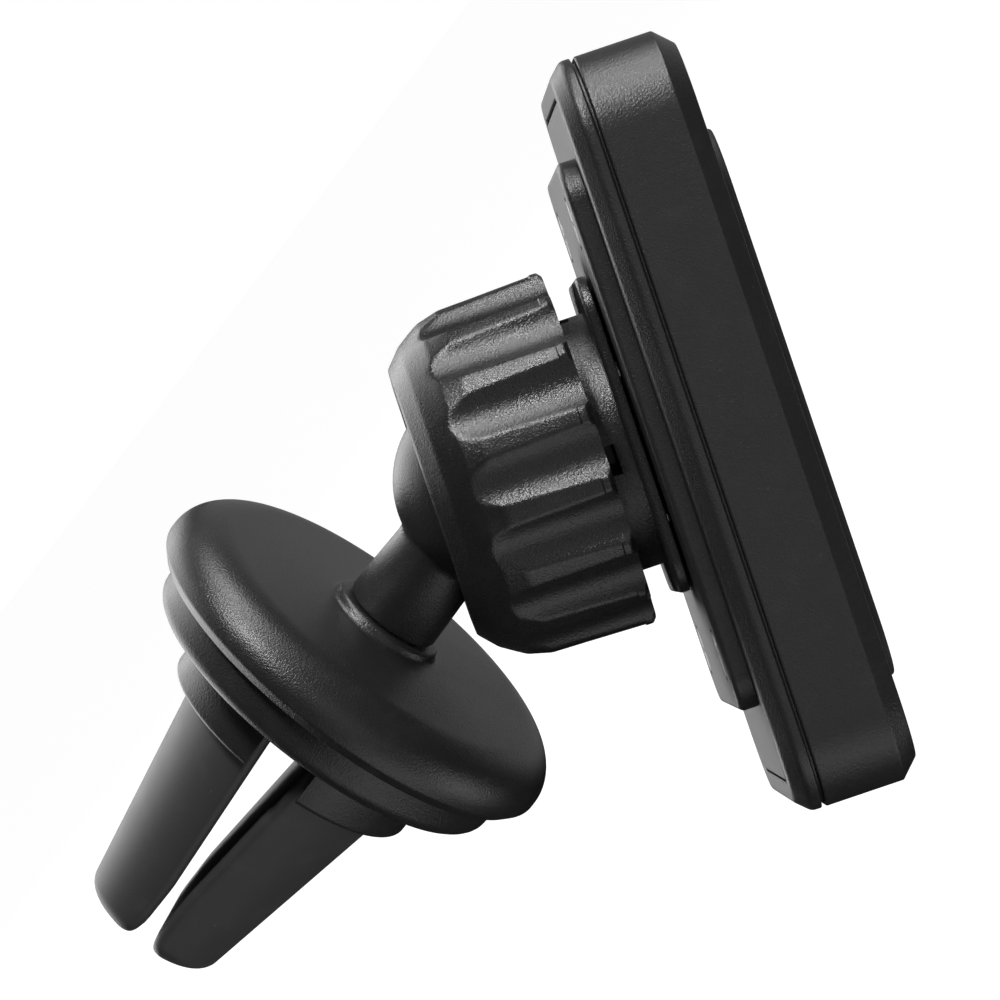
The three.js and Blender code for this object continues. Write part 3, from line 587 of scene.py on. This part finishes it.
def grip_nut():
    profile = [
        (NUT_MOUTH, NUT_END_A), (11.3, NUT_END_A + 0.08), (12.8, NUT_END_A + 1.45),
        (14.15, NUT_END_A + 3.5), (14.72, NUT_END_A + 5.35),
        (NUT_RADIUS, NUT_BAND_A[0] - 0.1), (NUT_RADIUS + NUT_BAND, NUT_BAND_A[0]),
        (NUT_RADIUS + NUT_BAND, NUT_BAND_A[1]), (NUT_RADIUS - 0.35, NUT_RIM_A),
        (NUT_BORE, NUT_RIM_A), (NUT_BORE, RING_FRONT_A), (RING_ROOM, RING_FRONT_A),
        (RING_ROOM, NUT_FLOOR_A), (NUT_MOUTH, NUT_FLOOR_A),
    ]
    radii = [0.15, 0.5, 1.6, 1.6, 2.2, 0.1, 0.08, 0.3, 0.2, 0.15, 0.1, 0.1, 0.1, 0.1]
    profile = softened(profile, radii, 6, closed=True)
    dense = []
    for (r0, h0), (r1, h1) in zip(profile, profile[1:] + profile[:1]):
        dense.append((r0, h0))
        length = math.hypot(r1 - r0, h1 - h0)
        pieces = int(length // 0.5) if min(r0, r1) > FLUTE_FLOOR + 0.1 else 0
        for i in range(1, pieces):
            dense.append((r0 + (r1 - r0) * i / pieces, h0 + (h1 - h0) * i / pieces))
    piece = turned("grip_nut_fluted", dense, Matrix.Identity(4), FLUTES * 30, closed=True)
    press = piece.modifiers.new("flutes", "NODES")
    press.node_group = fluted(GRIP)
    for item in press.node_group.interface.items_tree:
        if item.name == "Turn" and item.in_out == "INPUT":
            press[item.identifier] = math.radians(FLUTE_TURN)
    return shaded(placed(applied(piece), HEAD), 60)


settle(grip_nut(), "nut", GRIP, "black_plastic", "grip_nut")


# ---------------------------------------------------------------- collet and bracket
def socket_collet():
    tube = [
        (9.45, -2.9), (COLLET_RADIUS, 1.5), (COLLET_RADIUS, COLLET_BACK_A),
        (SPIGOT_BORE, COLLET_BACK_A), (SPIGOT_BORE, 5.6),
        *arc((0, 0), (SOCKET_RADIUS, SOCKET_RADIUS), 39, -19, 18), (8.3, -2.9),
    ]
    body = turned("collet_fingers", softened(tube, 0.12, 3, closed=True), HEAD, 120, closed=True)
    middle = FINGER_ROOT_A - FINGER_LENGTH / 2
    slots = [block((FINGER_SLOT, 40, FINGER_LENGTH), (0, 0, middle), HEAD, FINGER_TURN + 90 * i)
             for i in (0, 1)]
    fingers = carved(body, slots, 0.18)
    flange = softened([(14, FLANGE_A[0]), (0, FLANGE_A[0]), (0, FLANGE_A[1]), (14, FLANGE_A[1])],
                      [0, 0.35, 0.12, 0], 4)[1:-1]
    rings = [outline(FLANGE, inset, height, 10) for inset, height in flange]
    plate = carved(loft("flange", rings, HEAD), [rod(SPIGOT_BORE, 5, 15, 0, 0, HEAD, 96)], 0.1)
    return joined(fingers, plate)


def joined(first, *others):
    work = bmesh.new()
    for piece in (first, *others):
        work.from_mesh(piece.data)
    work.to_mesh(first.data)
    work.free()
    for piece in others:
        bpy.data.objects.remove(piece)
    return shaded(first)


def rounded_plate(name, shape, low, high, rear, front, steps=5):
    """A plate with its rear and front edges rounded by different amounts."""
    width = min(shape[0], shape[1]) / 2
    profile = softened([(0.6 * width, low), (0, low), (0, high), (0.6 * width, high)],
                       [0, rear, front, 0], steps)
    profile = [(max(inset, 0), height) for inset, height in profile]
    profile[0] = (rear + 0.7, low)
    profile[-1] = (front + 0.7, high)
    return loft(name, plate_rings(shape, profile), HEAD)


def screw_spots():
    middle = BRACKET[3]
    return [(i * SCREW_SPAN[0], middle + j * SCREW_SPAN[1]) for j in (1, -1) for i in (-1, 1)]


def rear_bracket():
    body = rounded_plate("bracket", BRACKET, *BRACKET_A, 0.55, 0.15)
    cutters = [rod(3.0, 10, 15, 0, 0, HEAD, 64)]
    for x, y in screw_spots():
        cutters.append(rod(1.2, 11, 15, x, y, HEAD))
        cutters.append(rod(2.2, 11, BRACKET_A[0] + 1.0, x, y, HEAD))
    return carved(body, cutters, 0.08)


settle(socket_collet(), "head", GRIP, "black_plastic", "socket_collet")
settle(rear_bracket(), "head", SHELL, "black_plastic", "rear_bracket")


# ---------------------------------------------------------------- plate of the head
def rear_cover():
    low, high = COVER_A
    floor = low + 0.7
    recess = (INLAY[0] + 2 * GAP, INLAY[1] + 2 * GAP, INLAY[2] + GAP, INLAY[3])
    inner = plate_rings(recess, [(1.0, floor), (0.1, floor), (0, floor - 0.08), (0, low + 0.12),
                                 (-0.1, low + 0.02), (-0.25, low)])
    edge = softened([(2.3, low), (1.2, low), (0, low + 1.25), (0, high), (0.5, high),
                     (0.5, high + 0.27), (1.6, high + 0.27), (1.6, floor + 0.8),
                     (3.0, floor + 0.8)],
                    [0, 0.7, 0.9, 0.15, 0.1, 0.05, 0.05, 0.1, 0], 5)[1:]
    return loft("rear_shell", inner + plate_rings(PLATE, edge), HEAD)


def front_housing():
    low, high = HOUSING_A
    floor = high - 0.45
    recess = (PAD[0] + 2 * GAP, PAD[1] + 2 * GAP, PAD[2] + GAP, PAD[3])
    inner = plate_rings(recess, [(1.0, floor), (0.08, floor), (0, floor + 0.08),
                                 (0, high - 0.1), (-0.1, high)])
    edge = softened([(4.0, high), (1.5, high), (0, high - 1.5), (0, low), (1.6, low),
                     (1.6, high - 1.0), (3.0, high - 1.0)],
                    [0, 0.3, 0.22, 0.18, 0.1, 0.1, 0], 6)[1:]
    return loft("front_shell", inner + plate_rings(PLATE, edge), HEAD)


settle(rear_cover(), "head", SHELL, "black_plastic", "rear_cover")
settle(front_housing(), "head", SHELL, "black_plastic", "front_housing")
settle(rounded_plate("rear_panel", INLAY, COVER_A[0], COVER_A[0] + 0.4, 0.12, 0.08),
       "head", SHELL, "black_plastic", "rear_inlay")
settle(rounded_plate("phone_pad", PAD, HOUSING_A[1] - 0.15, HOUSING_A[1] + 0.75, 0.1, 0.35),
       "head", PAD_RUBBER, "pad_rubber", "front_pad")


# ---------------------------------------------------------------- screws
def screw_tree(material):
    """A tree that sets cross-headed screws on its points, heads along +Z."""
    tree = bpy.data.node_groups.new("screws", "GeometryNodeTree")
    face = tree.interface
    face.new_socket("Points", in_out="INPUT", socket_type="NodeSocketGeometry")
    for label in ("Head radius", "Head height", "Shank radius", "Shank length", "Cross"):
        face.new_socket(label, in_out="INPUT", socket_type="NodeSocketFloat")
    face.new_socket("Geometry", in_out="OUTPUT", socket_type="NodeSocketGeometry")
    entry = tree.nodes.new("NodeGroupInput")
    size = {socket.name: Value(tree, socket) for socket in entry.outputs}

    def cylinder(radius, length, around, top):
        made = node(tree, "GeometryNodeMeshCylinder", {},
                    {"Vertices": around, "Radius": radius, "Depth": length}, "Mesh")
        shift = node(tree, "ShaderNodeCombineXYZ", {}, {2: top - length * 0.5}, 0)
        return node(tree, "GeometryNodeTransform", {}, {"Geometry": made, "Translation": shift}, 0)

    def bar(turn):
        reach = node(tree, "ShaderNodeCombineXYZ", {},
                     {0: size["Cross"] * 2.0, 1: size["Cross"] * 0.42,
                      2: size["Head height"] * 1.1}, 0)
        made = node(tree, "GeometryNodeMeshCube", {}, {"Size": reach}, "Mesh")
        shift = node(tree, "ShaderNodeCombineXYZ", {}, {2: size["Head height"]}, 0)
        return node(tree, "GeometryNodeTransform", {},
                    {"Geometry": made, "Translation": shift,
                     "Rotation": (0, 0, turn)}, 0)

    def union(*solids):
        mixed = tree.nodes.new("GeometryNodeMeshBoolean")
        mixed.operation = "UNION"
        for solid in solids:
            tree.links.new(solid.socket, mixed.inputs[1])
        return Value(tree, mixed.outputs[0])

    head = cylinder(size["Head radius"], size["Head height"], 48, size["Head height"])
    shank = cylinder(size["Shank radius"], size["Shank length"], 24, 0.02 * MM)
    cut = tree.nodes.new("GeometryNodeMeshBoolean")
    cut.operation = "DIFFERENCE"
    tree.links.new(head.socket, cut.inputs[0])
    tree.links.new(union(bar(0.0), bar(math.pi / 2)).socket, cut.inputs[1])
    screw = node(tree, "GeometryNodeJoinGeometry", {}, {}, 0)
    for solid in (shank, Value(tree, cut.outputs[0])):
        tree.links.new(solid.socket, screw.socket.node.inputs[0])
    spread = node(tree, "GeometryNodeInstanceOnPoints", {},
                  {"Points": Value(tree, entry.outputs["Points"]), "Instance": screw}, 0)
    shape = node(tree, "GeometryNodeRealizeInstances", {}, {0: spread}, 0)
    shape = node(tree, "GeometryNodeSetMaterial", {}, {"Geometry": shape, "Material": material}, 0)
    exit_node = tree.nodes.new("NodeGroupOutput")
    tree.links.new(shape.socket, exit_node.inputs[0])
    return tree


SCREWS = screw_tree(STEEL)


def screws(name, spots, level, place, sizes):
    """Screws whose heads sit on the level, facing the place's +Z."""
    mesh = bpy.data.meshes.new(name)
    mesh.from_pydata([Vector((x, y, level)) * MM for x, y in spots], [], [])
    piece = bpy.data.objects.new(name, mesh)
    scene.collection.objects.link(piece)
    step = piece.modifiers.new("screws", "NODES")
    step.node_group = SCREWS
    for item in SCREWS.interface.items_tree:
        if item.in_out == "INPUT" and item.name in sizes:
            step[item.identifier] = sizes[item.name] * MM
    return shaded(placed(applied(piece), place))


FLIP = Matrix.Rotation(math.pi, 4, "X")
bracket_screws = screws(
    "bracket_screw_set", [(x, -y) for x, y in screw_spots()], -(BRACKET_A[0] + 0.7), HEAD @ FLIP,
    {"Head radius": 1.9, "Head height": 0.7, "Shank radius": 0.9, "Shank length": 8.0,
     "Cross": 0.95})
settle(bracket_screws, "head", STEEL, "bright_steel",
       *(f"bracket_screw_{i}" for i in (1, 2, 3, 4)))
clip_screws = screws(
    "clip_screw_set", [(-CLIP_SCREW_X, 0.0), (CLIP_SCREW_X, 0.0)], -0.9, CLIP,
    {"Head radius": 1.5, "Head height": 0.9, "Shank radius": 0.8, "Shank length": 5.4,
     "Cross": 0.75})
settle(clip_screws, "clip", STEEL, "bright_steel", "clip_screw_left", "clip_screw_right")

# ---------------------------------------------------------------- inner pieces
# These solids are kept as they are and only take a finish.
KEPT = {
    INNER_BLACK: ["prong_core_upper", "prong_core_lower", "magnet_tray"],
    NYLON: ["friction_washer", "ball_seat", "slip_ring"],
    STEEL: ["stem_washer", "stem_screw", "seat_spring", "yoke_plate",
            *(f"collet_screw_{i}" for i in (1, 2, 3, 4))],
    NICKEL: [f"magnet_{i}" for i in (1, 2, 3, 4, 5, 6)],
}
for material, names in KEPT.items():
    for name in names:
        solid = frame["nodes"][name]
        for place in solid.material_slots:
            place.material = material

# ---------------------------------------------------------------- camera and light
TOWARD = Vector((-0.95995, -0.27563, 0.05031)).normalized()
RIGHT = Vector((0.2489027, -0.7564533, 0.6048392)).cross(TOWARD).normalized()
UPRIGHT = TOWARD.cross(RIGHT).normalized()


def seen(right, up, toward):
    """A place given as the viewer sees it, in metres from the ball."""
    return BALL_CENTRE + RIGHT * right + UPRIGHT * up + TOWARD * toward


def aimed(place, target):
    back = (place - target).normalized()
    side = UPRIGHT.cross(back).normalized()
    turn = Matrix((side, back.cross(side), back)).transposed().to_4x4()
    return Matrix.Translation(place) @ turn


lens = bpy.data.cameras.new("camera")
lens.sensor_width = 36
lens.lens = 311.2
lens.clip_start = 0.05
camera = bpy.data.objects.new("camera", lens)
STATION = Vector((-0.6723316, -0.2162677, 0.0341020))
camera.matrix_world = aimed(STATION, STATION - TOWARD)
scene.collection.objects.link(camera)
scene.camera = camera


def lamp(name, place, size, power):
    """A soft rectangular light that faces the ball and isn't seen itself."""
    light = bpy.data.lights.new(name, "AREA")
    light.shape = "RECTANGLE"
    light.size, light.size_y = size
    light.energy = power
    holder = bpy.data.objects.new(name, light)
    holder.matrix_world = aimed(place, BALL_CENTRE)
    holder.visible_camera = False
    scene.collection.objects.link(holder)


lamp("key", seen(-0.4, 0.65, 0.55), (0.12, 0.16), 9.5)
lamp("fill", seen(0.3, -0.8, 0.5), (0.9, 0.6), 2.2)
lamp("front", seen(0.35, 0.0, 1.1), (0.9, 0.9), 1.4)
lamp("left_wall", seen(-1.0, 0.05, -0.95), (1.4, 1.8), 24.0)
lamp("behind", seen(0.45, 0.6, -1.1), (1.3, 1.1), 1.6)
lamp("top", seen(-0.1, 1.0, 0.1), (0.5, 0.4), 8.0)
lamp("right", seen(1.1, -0.5, 0.1), (0.6, 0.9), 4.0)


def plain(name, colour, glow):
    material = bpy.data.materials.new(name)
    material.use_nodes = True
    surface = material.node_tree.nodes["Principled BSDF"]
    surface.inputs["Base Color"].default_value = (colour, colour, colour, 1)
    surface.inputs["Roughness"].default_value = 0.9
    surface.inputs["Specular IOR Level"].default_value = 0.1
    surface.inputs["Emission Color"].default_value = (1, 1, 1, 1)
    surface.inputs["Emission Strength"].default_value = glow
    return material


lowest = cad_box[0][2]
floor_mesh = bpy.data.meshes.new("floor")
floor_mesh.from_pydata([(x * 6, y * 6, lowest - 0.012) for x, y in ((-1, -1), (1, -1), (1, 1),
                                                                    (-1, 1))], [], [(0, 1, 2, 3)])
floor = bpy.data.objects.new("floor", floor_mesh)
floor_mesh.materials.append(plain("pale_floor", 0.12, 0.98))
scene.collection.objects.link(floor)
floor.visible_glossy = False

world = bpy.data.worlds.new("studio")
world.use_nodes = True
world.node_tree.nodes["Background"].inputs["Color"].default_value = (1, 1, 1, 1)
world.node_tree.nodes["Background"].inputs["Strength"].default_value = 1.0
world.cycles_visibility.glossy = False
world.cycles_visibility.diffuse = False
scene.world = world
scene.view_settings.view_transform = "Standard"
